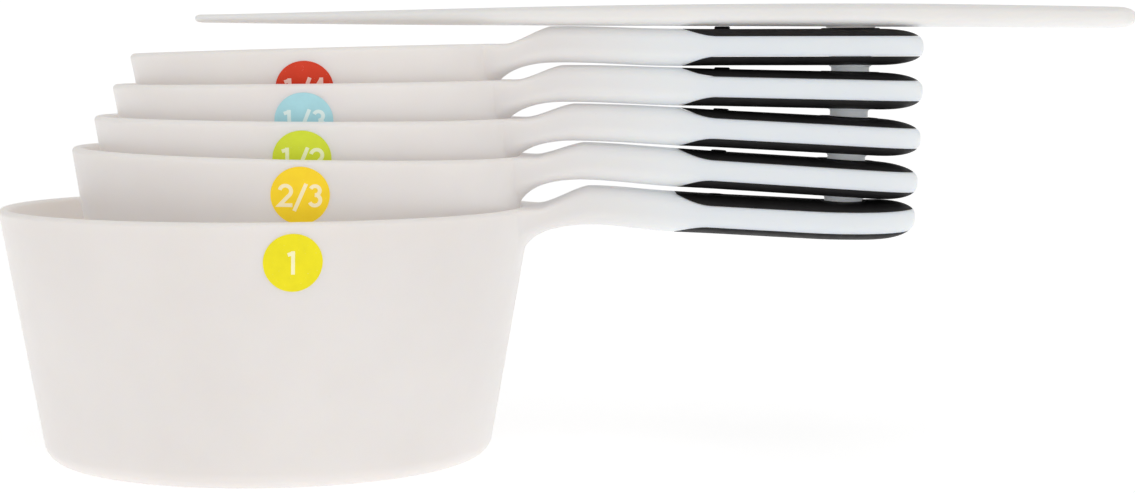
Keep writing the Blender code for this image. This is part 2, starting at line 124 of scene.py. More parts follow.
# Distance from the snap axis, half width and half height.
HANDLE_STATIONS = (
    (-31.0, 8.0, 3.4),
    (-24.0, 8.5, 3.33),
    (-12.0, 9.0, 3.33),
    (4.0, 9.2, 3.33),
)
HALF_HEIGHT = HANDLE_STATIONS[-1][2]
CURL_START = -6.0               # where a curled handle begins to turn up
NOSE_START = 4.0
NOSE_LENGTH = 9.0
NOSE_WIDTH_POWER = 2.3
NOSE_HEIGHT_POWER = 2.6
NOSE_SHARE = 0.992              # the last ring stands just short of the nose's tip
NOSE_STEPS = 20

# ---------------------------------------------------------------- grips
GRIP_START = -30.3
GRIP_RAMP = 6.2
SEAM_GAP = 0.08                 # parting line between a grip and the moulding
RAMP_STEPS = 14
BLOCK_HALF_WIDTH = 14.0         # the block that shapes a grip is larger than the handle
BLOCK_HEIGHT = 9.0
BLOCK_OVERHANG = 6.0

# ---------------------------------------------------------------- snaps
COLLAR_RADIUS = 5.2
COLLAR_HEIGHT = 0.06
COLLAR_SKIRT = 0.9              # how deep the collar and the pip reach into the grip
COLLAR_ROUND = 0.06
SOCKET_RADIUS = 3.85
SOCKET_CHAMFER = 0.3
STUD_RADIUS = 3.4
STUD_FLARE = 0.36               # the stud is this much wider where it leaves the grip
STUD_ENTRY = 1.0
STUD_CHAMFER = 0.4
STUD_ROOT = -0.6                # the stud starts this far under the handle's middle
HOLE_GAP = 0.05                 # round the stud, where it comes out of the grip
HOLE_CHAMFER = 0.3
PIP_OFFSET = -23.0
PIP_RADIUS = 1.4
PIP_ROUND = 0.25
ROUND_SEGMENTS = 72

# ---------------------------------------------------------------- size dots
DOT_RADIUS = 4.85
DOT_SEGMENTS = 96
DOT_RINGS = 6
DOT_BOTTOM, DOT_TOP = 0.01, 0.06        # the dot's ink, measured off the wall
FIGURE_TOP = 0.105                      # the figures' ink lies on the dot
NUMERAL_HEIGHT = 3.9
NUMERAL_STROKE = 0.62
NUMERAL_STEP = 2.4              # from the slash to the figure on either side

# ---------------------------------------------------------------- leveler
LEVELER_CLEARANCE = 0.26
LEVELER_TILT = 0.25
# Distance from the snap axis, half width, thickness and height of the underside.
LEVELER_STATIONS = (
    (-117.2, 8.0, 1.40, 0.20),
    (-111.0, 8.0, 1.55, 0.15),
    (-80.0, 8.4, 2.62, -0.03),
    (-50.0, 8.8, 3.45, -0.04),
    (-20.0, 9.3, 3.92, 0.0),
    (10.0, 9.8, 4.1, 0.0),
    (35.0, 10.0, 3.90, -0.04),
    (50.8, 10.0, 3.72, -0.05),
)
BOSS_RADIUS = 4.4               # low boss under the blade, round the snap
BOSS_HEIGHT = 0.2
LEVELER_POWER = 3.2
LEVELER_STEP = 2.0
LEVELER_TIP = 5.5               # length over which the tip is rounded in plan
LEVELER_END = 11.0              # and the wide end
LEVELER_TIP_POWER = 2.6
LEVELER_END_POWER = 2.3
LEVELER_EDGE = 1.2              # length over which the tip thins down
LEVELER_END_EDGE = 3.5          # and the wide end
LEVELER_EDGE_POWER = 2.4
LEVELER_END_EDGE_POWER = 2.2
LEVELER_END_STEPS = 14
SHANK_RADIUS = 2.5
SHANK_LENGTH = 1.6
POCKET_GAP = 0.3
SEAT_GAP = 0.05                 # between the boss and the stud's shoulder

# ---------------------------------------------------------------- colours
IVORY = (0.665, 0.641, 0.630)
IVORY_LIGHT = (0.690, 0.667, 0.657)
# painted light: a lighter, bluer tone that stands in for cool light falling on the handles
PAINTED_COOL_LIGHT = (0.705, 0.730, 0.748)
COOL_LIGHT_FROM, COOL_LIGHT_TO = 40.0, 84.0     # X over which a painted cool light is laid on the handle's plastic, turning it lighter and bluer
LEVELER_WARM = (0.682, 0.676, 0.672)
LEVELER_LIGHT = (0.702, 0.697, 0.693)
RUBBER_DARK = (0.0105, 0.0098, 0.0104)
RUBBER_LIGHT = (0.0165, 0.0155, 0.0158)
FIGURE = (0.88, 0.88, 0.80)     # paint of the figures
FIGURE_COVER = 0.6              # the rest is the dot that shows through it
INKS = {
    "yellow_dot": (0.780, 0.682, 0.010),
    "amber_dot": (0.895, 0.625, 0.022),
    "lime_dot": (0.580, 0.655, 0.036),
    "blue_dot": (0.370, 0.630, 0.685),
    "red_dot": (0.590, 0.043, 0.0150),
}
PAINTED_GLOW = 0.20                     # painted glow: the plastic and the ink give off light of their own, which lightens their crevices and undersides
FLOOR_WHITE = (0.94, 0.94, 0.94)
FLOOR_GLOW = 0.38               # the floor is a white table lit from below
EDGE_ANGLE = math.radians(38.0)     # faces that meet at more than this show an edge


# ================================================================ helpers
def lerp(a, b, t):
    return a + (b - a) * t


def smooth_step(t):
    t = min(max(t, 0.0), 1.0)
    return t * t * (3.0 - 2.0 * t)


def through(table, a):
    """Row of values at a, on a smooth curve through the table's rows (a, value, ...)."""
    last = len(table) - 1
    index = 0
    while index < last - 1 and a > table[index + 1][0]:
        index += 1
    low, high = table[index], table[index + 1]
    span = high[0] - low[0]
    t = min(max((a - low[0]) / span, 0.0), 1.0)

    def slope(row, column):
        before, after = table[max(row - 1, 0)], table[min(row + 1, last)]
        return (after[column] - before[column]) / (after[0] - before[0])

    values = []
    for column in range(1, len(low)):
        start = slope(index, column) * span
        end = slope(index + 1, column) * span
        values.append(
            (2 * t**3 - 3 * t**2 + 1) * low[column] + (t**3 - 2 * t**2 + t) * start
            + (3 * t**2 - 2 * t**3) * high[column] + (t**3 - t**2) * end
        )
    return values


def spread(start, end, step):
    """Even positions from start to end, both included, about a step apart."""
    count = max(1, round((end - start) / step))
    return [lerp(start, end, i / count) for i in range(count + 1)]


def arc(centre, radius, start, end, steps=ROUND_STEPS):
    points = []
    for i in range(steps + 1):
        angle = lerp(start, end, i / steps)
        points.append((centre[0] + radius * math.cos(angle), centre[1] + radius * math.sin(angle)))
    return points


def make_object(name, verts, faces, scale=MM):
    mesh = bpy.data.meshes.new(name)
    mesh.from_pydata([Vector(v) * scale for v in verts], [], faces)
    work = bmesh.new()
    work.from_mesh(mesh)
    bmesh.ops.recalc_face_normals(work, faces=work.faces)
    work.to_mesh(mesh)
    work.free()
    obj = bpy.data.objects.new(name, mesh)
    bpy.context.scene.collection.objects.link(obj)
    return obj


def combine(obj, tool, operation):
    """Joins, cuts or intersects obj with tool, and removes the tool."""
    modifier = obj.modifiers.new(operation.title(), "BOOLEAN")
    modifier.operation = operation
    modifier.solver = "EXACT"
    modifier.object = tool
    bpy.context.view_layer.update()
    graph = bpy.context.evaluated_depsgraph_get()
    result = bpy.data.meshes.new_from_object(obj.evaluated_get(graph))
    obj.modifiers.clear()
    obj.data = result
    bpy.data.objects.remove(tool, do_unlink=True)
    return obj


def revolve(name, profile, segments=ROUND_SEGMENTS):
    """A solid turned about Z from (r, z) points; the first and last lie on the axis."""
    verts = [(0.0, 0.0, profile[0][1])]
    rows = profile[1:-1]
    for radius, height in rows:
        for i in range(segments):
            angle = 2.0 * math.pi * i / segments
            verts.append((radius * math.cos(angle), radius * math.sin(angle), height))
    verts.append((0.0, 0.0, profile[-1][1]))
    last = len(verts) - 1
    top = 1 + (len(rows) - 1) * segments
    faces = []
    for i in range(segments):
        j = (i + 1) % segments
        faces.append((0, 1 + j, 1 + i))
        for row in range(len(rows) - 1):
            low = 1 + row * segments
            high = low + segments
            faces.append((low + i, low + j, high + j, high + i))
        faces.append((top + i, top + j, last))
    return make_object(name, verts, faces)


def loft(name, rings):
    """A solid skinned over closed rings whose point i mirrors point -i across the width."""
    count = len(rings[0])
    verts = [point for ring in rings for point in ring]
    faces = []
    for row in range(len(rings) - 1):
        for i in range(count):
            j = (i + 1) % count
            low = row * count
            high = low + count
            faces.append((low + i, low + j, high + j, high + i))
    for base in (0, (len(rings) - 1) * count):
        half = count // 2
        faces.append((base, base + 1, base + count - 1))
        for i in range(1, half - 1):
            faces.append((base + i, base + i + 1, base + count - i - 1, base + count - i))
        faces.append((base + half - 1, base + half, base + half + 1))
    return make_object(name, verts, faces)


def section(half_width, top, bottom, power):
    """Points (y, z) of a superellipse between the heights top and bottom."""
    middle = (top + bottom) / 2.0
    half_height = (top - bottom) / 2.0
    points = []
    for i in range(SECTION_POINTS):
        angle = 2.0 * math.pi * i / SECTION_POINTS
        c = math.cos(angle)
        s = math.sin(angle)
        reach = (abs(c) ** power + abs(s) ** power) ** (-1.0 / power)
        points.append((half_width * reach * c, middle + half_height * reach * s))
    return points


def shifted(obj, x):
    obj.data.transform(Matrix.Translation((x * MM, 0.0, 0.0)))
    return obj


# ================================================================ frames
def metre_matrix(matrix):
    result = matrix.copy()
    result.translation = matrix.translation * MM
    return result


def frame_at(x, z, tilt):
    """Frame at (x, 0, z), turned so that its +X side goes down by tilt radians."""
    return Matrix.Translation((x, 0.0, z)) @ Matrix.Rotation(tilt, 4, "Y")


def add_frames(cups):
    """Works out each cup's depth, its rim frame and its handle frame."""
    rim_z = depth_for_volume(cups[0]) + FLOOR
    collar = HALF_HEIGHT + COLLAR_HEIGHT
    socket = Vector((SNAP_X, 0.0, cups[0]["snap_z"]))
    for cup in cups:
        cup["depth"] = depth_for_volume(cup)
        rim_z += cup["rise"]
        rim_frame = frame_at(cup["shift"], rim_z, math.radians(cup["tilt"]))
        slope = math.radians(cup["slope"])
        spacing = cup["snap_z"] - socket.z
        snap_x = socket.x + spacing * math.tan(slope)
        cup["rim_frame"] = rim_frame
        cup["handle_frame"] = frame_at(snap_x, cup["snap_z"], slope)
        cup["to_handle"] = cup["handle_frame"].inverted() @ rim_frame
        cup["stud_tip"] = None if cup is cups[0] else -(spacing + STUD_ENTRY)
        socket = cup["handle_frame"] @ Vector((0.0, 0.0, collar))


def show(piece, cad_node, body, place, mat):
    """Places a piece, gives it its material and lets it stand for its CAD node."""
    piece.data.transform(metre_matrix(place))
    piece.data.materials.clear()
    piece.data.materials.append(mat)
    piece.data.shade_smooth()
    piece.data.set_sharp_from_angle(angle=EDGE_ANGLE)
    if cad_node:
        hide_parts(cad_node)
    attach(piece, body)
    return piece


# ================================================================ bowls
def wall_radius(cup, height):
    """Outer radius of the wall at a height below the rim (height is negative)."""
    return cup["radius"] + height * math.tan(DRAFT)


def cavity_wall_radius(cup, height):
    return wall_radius(cup, height) - WALL / math.cos(DRAFT)


def round_at_foot(wall, bottom, radius, steps=ROUND_STEPS):
    """Arc that joins a level bottom to the drafted wall."""
    height = bottom + radius
    centre = wall(height) - radius / math.cos(DRAFT)
    return arc((centre, height), radius, -math.pi / 2.0, -DRAFT, steps)


def turned_volume(profile):
    total = 0.0
    for (r0, z0), (r1, z1) in zip(profile, profile[1:]):
        total += math.pi * (z1 - z0) * (r0 * r0 + r0 * r1 + r1 * r1) / 3.0
    return total / 1000.0


def depth_for_volume(cup):
    """Depth at which the bowl holds its volume, found by halving the interval."""
    low, high = LEAST_DEPTH, MOST_DEPTH
    for _ in range(40):
        depth = (low + high) / 2.0
        inside = [(0.0, -depth)]
        inside += round_at_foot(lambda z: cavity_wall_radius(cup, z), -depth, FLOOR_ROUND, 2)
        inside.append((cavity_wall_radius(cup, 0.0), 0.0))
        if turned_volume(inside) < cup["volume"]:
            low = depth
        else:
            high = depth
    return depth


def base_profile(bottom, foot_radius):
    """Underside: a gate dimple in the middle of a face set back inside the foot ring."""
    face = bottom + FOOT_RECESS
    inner = foot_radius - FOOT_WIDTH
    half = FOOT_RECESS / 2.0
    points = [(0.0, face + GATE_DEPTH * 0.4), (GATE_NUB, face + GATE_DEPTH * 0.45)]
    points += [(GATE_NUB + 0.2, face + GATE_DEPTH), (GATE_RADIUS - 0.3, face + GATE_DEPTH)]
    points += [(GATE_RADIUS, face + 0.1), (GATE_RADIUS + 0.2, face)]
    points += spread_points(GATE_RADIUS + 1.0, inner - half, face, 5)
    points += reversed(arc((inner - half, face - half), half, 0.0, math.pi / 2.0, 4))
    points += arc((inner + half, face - half), half, math.pi, 1.5 * math.pi, 4)
    return points


def spread_points(start, end, height, count):
    """Points at one height, from start up to but not including end."""
    return [(lerp(start, end, i / count), height) for i in range(count)]


def bowl_profile(cup):
    bottom = -(cup["depth"] + FLOOR)
    outer_lip = (wall_radius(cup, -LIP_ROUND) - LIP_ROUND / math.cos(DRAFT), -LIP_ROUND)
    inner_lip = (cavity_wall_radius(cup, -LIP_ROUND) + LIP_ROUND / math.cos(DRAFT), -LIP_ROUND)
    foot = round_at_foot(lambda z: wall_radius(cup, z), bottom, BASE_ROUND, 12)
    lip = arc(outer_lip, LIP_ROUND, -DRAFT, math.pi / 2.0)
    inner = arc(inner_lip, LIP_ROUND, math.pi / 2.0, math.pi - DRAFT)
    floor = round_at_foot(lambda z: cavity_wall_radius(cup, z), -cup["depth"], FLOOR_ROUND)
    profile = base_profile(bottom, foot[0][0])
    profile += foot + rows_between(foot[-1], lip[0]) + lip
    profile += inner + rows_between(inner[-1], floor[-1]) + list(reversed(floor))
    profile += [(floor[0][0] * share, -cup["depth"]) for share in (0.75, 0.5, 0.25, 0.08)]
    profile.append((0.0, -cup["depth"]))
    return profile


def rows_between(start, end):
    """Points strictly between two ends of a straight wall."""
    points = []
    for i in range(1, WALL_ROWS):
        t = i / WALL_ROWS
        points.append((lerp(start[0], end[0], t), lerp(start[1], end[1], t)))
    return points


# ================================================================ handles
def flare_end(cup):
    """X at which the handle's side leaves the plan round that joins it to the rim."""
    side = NECK_HALF_WIDTH + FLARE_ROUND
    return math.sqrt((cup["radius"] + FLARE_ROUND) ** 2 - side ** 2)


def flare_top(cup, x):
    """Height of the root's upper face at x: level with the rim, then a ramp to the neck."""
    u = (x - cup["radius"]) / (flare_end(cup) - cup["radius"])
    t = max((u - RAMP_START) / (1.0 - RAMP_START), 0.0)
    neck_top = NECK_HALF_HEIGHT * cup["girth"] - cup["neck_drop"]
    return lerp(-LIP_DROP, neck_top, lerp(smooth_step(t), t, RAMP_STRAIGHT))


def flare_rings(cup):
    """Rings of the handle's root in the cup's frame, from inside the wall outwards."""
    radius = cup["radius"]
    end = flare_end(cup)
    side = NECK_HALF_WIDTH + FLARE_ROUND
    first_angle = math.atan2(-side, -end)
    neck_half = NECK_HALF_HEIGHT * cup["girth"]
    arch_z = -cup["neck_drop"] - neck_half - ARCH_ROUND
    arch_x = radius + ARCH_ROUND / math.cos(DRAFT) + arch_z * math.tan(DRAFT)
    rings = []
    for step in range(FLARE_STEPS + 1):
        u = step / FLARE_STEPS
        plan_angle = lerp(first_angle, -math.pi / 2.0, u)
        edge_x = end + FLARE_ROUND * math.cos(plan_angle)
        width = side + FLARE_ROUND * math.sin(plan_angle)
        side_angle = lerp(math.pi - DRAFT, math.pi / 2.0, u)
        low_x = arch_x + ARCH_ROUND * math.cos(side_angle) + (end - arch_x) * u * u
        bottom = arch_z + ARCH_ROUND * math.sin(side_angle)
        high_x = lerp(radius, end, u)
        top = flare_top(cup, high_x)
        sag = high_x - edge_x
        ring = []
        for y, z in section(width, top, bottom, lerp(ROOT_POWER, SECTION_POWER, u)):
            up = (z - bottom) / (top - bottom)
            x = lerp(low_x, high_x, up) - sag * (y / width) ** 2 - BITE * (1.0 - u)
            local_top = flare_top(cup, high_x - sag * (y / width) ** 2)
            ring.append(Vector((x, y, lerp(bottom, local_top, up))))
        rings.append(ring)
    root = []
    for point in rings[0]:
        inward = Vector((point.x, point.y, 0.0)).normalized() * BURIED
        root.append(point - inward)
    return [root] + rings


def curl(cup, a):
    """How far the handle has turned up at a distance a from the snap axis."""
    return cup["curl"] * max(a - CURL_START, 0.0) ** 2


def handle_ring(cup, a, width, height, middle=0.0):
    """One upright ring of the handle, in the handle's frame."""
    middle += curl(cup, a)
    height *= cup["girth"]
    outline = section(width, middle + height, middle - height, SECTION_POWER)
    return [Vector((a, y, z)) for y, z in outline]


def neck_rings(cup):
    """Rings between the flare's end and the straight handle, in the handle's frame."""
    start = cup["to_handle"] @ Vector((flare_end(cup), 0.0, -cup["neck_drop"]))
    heading = cup["to_handle"].to_3x3() @ Vector((1.0, 0.0, 0.0))
    end, end_width, end_height = HANDLE_STATIONS[0]
    span = end - start.x
    rings = []
    for a in spread(start.x, end, HANDLE_STEP)[1:-1]:
        t = (a - start.x) / span
        ease = smooth_step(t)
        middle = (1.0 - ease) * start.z + t * (1.0 - t) ** 2 * span * heading.z / heading.x
        width = lerp(NECK_HALF_WIDTH, end_width, ease)
        height = lerp(NECK_HALF_HEIGHT, end_height, ease)
        rings.append(handle_ring(cup, a, width, height, middle))
    return rings


def nose_factor(a, power):
    t = (a - NOSE_START) / NOSE_LENGTH
    return (1.0 - t ** power) ** (1.0 / power)


def straight_rings(cup):
    """Rings of the straight handle and its rounded end, in the handle's frame."""
    rings = []
    for a in spread(HANDLE_STATIONS[0][0], NOSE_START, HANDLE_STEP):
        rings.append(handle_ring(cup, a, *through(HANDLE_STATIONS, a)))
    full_width = HANDLE_STATIONS[-1][1]
    for step in range(1, NOSE_STEPS + 1):
        t = math.sin(NOSE_SHARE * math.pi / 2.0 * step / NOSE_STEPS)
        a = NOSE_START + NOSE_LENGTH * t
        width = full_width * nose_factor(a, NOSE_WIDTH_POWER)
        height = HALF_HEIGHT * nose_factor(a, NOSE_HEIGHT_POWER)
        rings.append(handle_ring(cup, a, width, height))
    return rings


def handle(cup, name):
    rings = [[cup["to_handle"] @ point for point in ring] for ring in flare_rings(cup)]
    return loft(name, rings + neck_rings(cup) + straight_rings(cup))


def inlay(cup, side, gap):
    """Block that holds a grip: everything beyond the seam, with a curved front ramp."""
    seam = cup["seams"][0 if side > 0 else 1]
    outer = side * BLOCK_HEIGHT
    far = NOSE_START + NOSE_LENGTH + BLOCK_OVERHANG
    outline = [(GRIP_START + gap, outer)]
    for step in range(RAMP_STEPS + 1):
        t = step / RAMP_STEPS
        z = lerp(side * HALF_HEIGHT, seam, math.sin(t * math.pi / 2.0)) + side * gap
        outline.append((GRIP_START + gap + GRIP_RAMP * t, z))
    outline += [(a, seam + side * gap + curl(cup, a)) for a in spread(CURL_START, far, HANDLE_STEP)]
    outline.append((far, outer))
    half = BLOCK_HALF_WIDTH
    count = len(outline)
    verts = [(x, -half, z) for x, z in outline] + [(x, half, z) for x, z in outline]
    faces = [tuple(range(count)), tuple(range(count, 2 * count))]
    for i in range(count):
        j = (i + 1) % count
        faces.append((i, j, count + j, count + i))
    return make_object("inlay", verts, faces)


# ================================================================ mouldings
def stud_profile(tip):
    """Snap stud: chamfered tip, straight body, and a small flare where it leaves the grip."""
    leave = -HALF_HEIGHT - 0.1
    shoulder = tip + STUD_CHAMFER + 0.1
    profile = [(0.0, tip), (STUD_RADIUS - STUD_CHAMFER - 0.15, tip)]
    profile += [(STUD_RADIUS - STUD_CHAMFER, tip + 0.05), (STUD_RADIUS, shoulder)]
    flare = arc((STUD_RADIUS + STUD_FLARE, leave - STUD_FLARE), STUD_FLARE, math.pi, math.pi / 2.0)
    profile += [point for point in flare if point[1] > shoulder + 0.05]
    profile += [(STUD_RADIUS + STUD_FLARE, STUD_ROOT), (0.0, STUD_ROOT)]
    return profile


def moulding(cup):
    """Bowl, handle and stud as one moulding, recessed for both grips."""
    body = handle(cup, cup["name"] + "_moulding")
    combine(body, inlay(cup, 1, -SEAM_GAP / 2.0), "DIFFERENCE")
    combine(body, inlay(cup, -1, -SEAM_GAP / 2.0), "DIFFERENCE")
    if cup["stud_tip"] is not None:
        combine(body, revolve("stud", stud_profile(cup["stud_tip"])), "UNION")
    shell = revolve("shell", bowl_profile(cup), BOWL_SEGMENTS)
    shell.data.transform(metre_matrix(cup["to_handle"]))
    combine(body, shell, "UNION")
    return body


def collar():
    """Low ring round the snap socket, with softened edges."""
    top = HALF_HEIGHT + COLLAR_HEIGHT
    middle = (COLLAR_RADIUS - COLLAR_ROUND, top - COLLAR_ROUND)
    crown = arc(middle, COLLAR_ROUND, 0.0, math.pi / 2.0, 4)
    foot = HALF_HEIGHT - COLLAR_SKIRT
    profile = [(0.0, foot), (COLLAR_RADIUS + 0.2, foot)]
    profile += [(COLLAR_RADIUS + 0.1, HALF_HEIGHT - 0.1)] + crown + [(0.0, top)]
    return revolve("collar", profile)


def socket():
    """Bore of the snap socket, with a chamfered mouth."""
    top = HALF_HEIGHT + COLLAR_HEIGHT
    mouth = SOCKET_RADIUS + SOCKET_CHAMFER
    profile = [(0.0, 0.0), (SOCKET_RADIUS, 0.0), (SOCKET_RADIUS, top + 0.05 - SOCKET_CHAMFER)]
    profile += [(mouth, top + 0.05), (mouth, top + 1.0), (0.0, top + 1.0)]
    return revolve("socket", profile)


def pip(height):
    """Low domed spacer near the front of the top grip."""
    top = HALF_HEIGHT + height
    edge = arc((PIP_RADIUS - PIP_ROUND, top - PIP_ROUND), PIP_ROUND, 0.0, math.pi / 2.0, 5)
    foot = HALF_HEIGHT - COLLAR_SKIRT
    profile = [(0.0, foot), (PIP_RADIUS, foot)] + edge + [(0.0, top)]
    return shifted(revolve("pip", profile, 40), PIP_OFFSET)


def top_grip(cup):
    grip = handle(cup, cup["name"] + "_grip_top")
    combine(grip, inlay(cup, 1, SEAM_GAP / 2.0), "INTERSECT")
    combine(grip, collar(), "UNION")
    combine(grip, pip(cup["pip"]), "UNION")
    return combine(grip, socket(), "DIFFERENCE")


def bottom_grip(cup):
    grip = handle(cup, cup["name"] + "_grip_bottom")
    combine(grip, inlay(cup, -1, SEAM_GAP / 2.0), "INTERSECT")
    if cup["stud_tip"] is not None:
        rim = STUD_RADIUS + STUD_FLARE + HOLE_GAP
        mouth = rim + HOLE_CHAMFER
        edge = -HALF_HEIGHT - 0.05
        profile = [(0.0, -BLOCK_HEIGHT), (mouth, -BLOCK_HEIGHT), (mouth, edge)]
        profile += [(rim, edge + HOLE_CHAMFER), (rim, 0.0), (0.0, 0.0)]
        combine(grip, revolve("hole", profile), "DIFFERENCE")
    return grip


# ================================================================ size dots
def on_wall(cup, across, up, out):
    """Point on the bowl's front, measured from the dot's centre, off the wall by out."""
    centre_radius = wall_radius(cup, -cup["dot_depth"])
    heading = math.asin((cup["dot_x"] - cup["shift"]) / centre_radius)
    height = -cup["dot_depth"] + up * math.cos(DRAFT)
    turn = heading + across / centre_radius
    radius = wall_radius(cup, height) + out
    return Vector((radius * math.sin(turn), -radius * math.cos(turn), height))


def dot_disc(cup):
    """Round patch of ink, bent to the wall."""
    verts = []
    for out in (DOT_BOTTOM, DOT_TOP):
        for ring in range(DOT_RINGS + 1):
            for i in range(DOT_SEGMENTS if ring else 1):
                angle = 2.0 * math.pi * i / DOT_SEGMENTS
                reach = DOT_RADIUS * ring / DOT_RINGS
                verts.append(on_wall(cup, reach * math.cos(angle), reach * math.sin(angle), out))
    side = 1 + DOT_RINGS * DOT_SEGMENTS
    faces = []
    for i in range(DOT_SEGMENTS):
        j = (i + 1) % DOT_SEGMENTS
        for base in (0, side):
            faces.append((base, base + 1 + i, base + 1 + j))
            for ring in range(DOT_RINGS - 1):
                low = base + 1 + ring * DOT_SEGMENTS
                high = low + DOT_SEGMENTS
                faces.append((low + i, high + i, high + j, low + j))
        edge = 1 + (DOT_RINGS - 1) * DOT_SEGMENTS
        faces.append((edge + i, edge + j, side + edge + j, side + edge + i))
    return make_object(cup["name"] + "_dot", verts, faces)


def turn_arc(x, z, radius, start, end, steps=14):
    """Centreline of a round stroke; angles in degrees."""
    return arc((x, z), radius, math.radians(start), math.radians(end), steps)


def glyph_strokes(character):
    """Centrelines of a figure's strokes, with the middle of its foot at the origin."""
    half = NUMERAL_STROKE / 2.0
    top = NUMERAL_HEIGHT - half
    if character == "1":
        return [[(-0.85, NUMERAL_HEIGHT - 0.62), (0.1, top)], [(0.0, 0.0), (0.0, NUMERAL_HEIGHT)]]
    if character == "/":
        return [[(-0.95, -0.65), (0.95, NUMERAL_HEIGHT + 0.05)]]
    if character == "2":
        bowl = turn_arc(0.0, top - 0.93, 0.93, 168.0, -38.0)
        return [bowl + [(-0.95, half), (1.15, half)]]
    if character == "3":
        upper = turn_arc(0.0, top - 0.77, 0.77, 155.0, -90.0)
        lower = turn_arc(0.0, half + 0.9, 0.9, 90.0, -155.0)
        return [upper, lower]
    return [
        [(0.42, 0.0), (0.42, NUMERAL_HEIGHT)],
        [(0.45, NUMERAL_HEIGHT - 0.2), (-1.15, 1.15)],
        [(-1.3, 1.15), (1.15, 1.15)],
    ]


def ribbon(points, width, thickness):
    """Flat closed solid along a centreline in the XZ plane, with mitred corners."""
    left, right = [], []
    for i, point in enumerate(points):
        here = Vector(point)
        before = here - Vector(points[i - 1]) if i else None
        after = Vector(points[i + 1]) - here if i + 1 < len(points) else None
        before = (before or after).normalized()
        after = (after or before).normalized()
        middle = (before + after).normalized()
        normal = Vector((-middle.y, middle.x)) * (width / 2.0) / max(middle.dot(after), 0.35)
        left.append(here + normal)
        right.append(here - normal)
    outline = left + right[::-1]
    count = len(outline)
    last = len(points) - 1
    verts = [(p.x, 0.0, p.y) for p in outline] + [(p.x, thickness, p.y) for p in outline]
    faces = []
    for i in range(last):
        for base in (0, count):
            faces.append((base + i, base + i + 1, base + count - 2 - i, base + count - 1 - i))
    for i in range(count):
        j = (i + 1) % count
        faces.append((i, j, count + j, count + i))
    return make_object("stroke", verts, faces, 1.0)


def numeral(cup):
    """The amount on the dot, drawn flat and then bent to the wall."""
    label = cup["label"]
    figures = []
    for place, character in enumerate(label):
        offset = NUMERAL_STEP * (place - (len(label) - 1) / 2.0)
        figure = None
        for stroke in glyph_strokes(character):
            moved = [(x + offset, z - NUMERAL_HEIGHT / 2.0) for x, z in stroke]
            piece = ribbon(moved, NUMERAL_STROKE, 1.0)
            figure = combine(figure, piece, "UNION") if figure else piece
        figures.append(figure)
    flat = bmesh.new()
    for figure in figures:
        flat.from_mesh(figure.data)
        bpy.data.objects.remove(figure, do_unlink=True)
    for vert in flat.verts:
        out = lerp(FIGURE_TOP, DOT_TOP, vert.co.y)
        vert.co = on_wall(cup, vert.co.x, vert.co.z, out) * MM
    mesh = bpy.data.meshes.new(cup["name"] + "_figures")
    bmesh.ops.recalc_face_normals(flat, faces=flat.faces)
    flat.to_mesh(mesh)
    flat.free()
    obj = bpy.data.objects.new(mesh.name, mesh)
    bpy.context.scene.collection.objects.link(obj)
    return obj


# ================================================================ leveler
def end_factor(distance, length, power):
    """1 along the blade, easing to 0 at an end that is distance away."""
    t = 1.0 - min(distance / length, 1.0)
    return max(1.0 - t ** power, 0.0) ** (1.0 / power)


def leveler_positions():
    """Ring positions along the blade, closer together where the ends are rounded."""
    start, end = LEVELER_STATIONS[0][0], LEVELER_STATIONS[-1][0]
    tip = []
    wide = []
    for i in range(LEVELER_END_STEPS):
        t = 1.0 - math.cos(math.pi / 2.0 * (i + 0.35) / LEVELER_END_STEPS)
        tip.append(start + LEVELER_TIP * t)
        wide.append(end - LEVELER_END * t)
    return tip + spread(start + LEVELER_TIP, end - LEVELER_END, LEVELER_STEP) + wide[::-1]


def leveler_blade():
    """Long flat scraper; its origin is the snap axis on the underside."""
    start, end = LEVELER_STATIONS[0][0], LEVELER_STATIONS[-1][0]
    rings = []
    for a in leveler_positions():
        width, thickness, base = through(LEVELER_STATIONS, a)
        width *= end_factor(a - start, LEVELER_TIP, LEVELER_TIP_POWER)
        width *= end_factor(end - a, LEVELER_END, LEVELER_END_POWER)
        edge = end_factor(a - start, LEVELER_EDGE, LEVELER_EDGE_POWER)
        edge *= end_factor(end - a, LEVELER_END_EDGE, LEVELER_END_EDGE_POWER)
        middle = thickness / 2.0
        top, bottom = middle * (1.0 + edge), middle * (1.0 - edge)
        outline = section(width, base + top, base + bottom, LEVELER_POWER)
        rings.append([Vector((a, y, z)) for y, z in outline])
    blade = loft("leveler", rings)
    boss = [(0.0, -BOSS_HEIGHT), (BOSS_RADIUS - 0.1, -BOSS_HEIGHT), (BOSS_RADIUS, 0.1 - BOSS_HEIGHT)]
    combine(blade, revolve("boss", boss + [(BOSS_RADIUS, 0.5), (0.0, 0.5)]), "UNION")
    depth = SHANK_LENGTH + POCKET_GAP
    radius = SHANK_RADIUS + POCKET_GAP
    pocket = revolve("pocket", [(0.0, -1.0), (radius, -1.0), (radius, depth), (0.0, depth)])
    return combine(blade, pocket, "DIFFERENCE")


def leveler_stud(depth):
    """Snap stud under the leveler, with a shank set into the blade."""
    profile = [(0.0, -depth), (STUD_RADIUS - 0.5, -depth), (STUD_RADIUS - 0.15, -depth + 0.1)]
    seat = -BOSS_HEIGHT - SEAT_GAP
    profile += [(STUD_RADIUS, -depth + 0.4), (STUD_RADIUS, seat - 0.1), (STUD_RADIUS - 0.1, seat)]
    profile += [(SHANK_RADIUS, seat), (SHANK_RADIUS, SHANK_LENGTH), (0.0, SHANK_LENGTH)]
    return revolve("leveler_snap", profile)


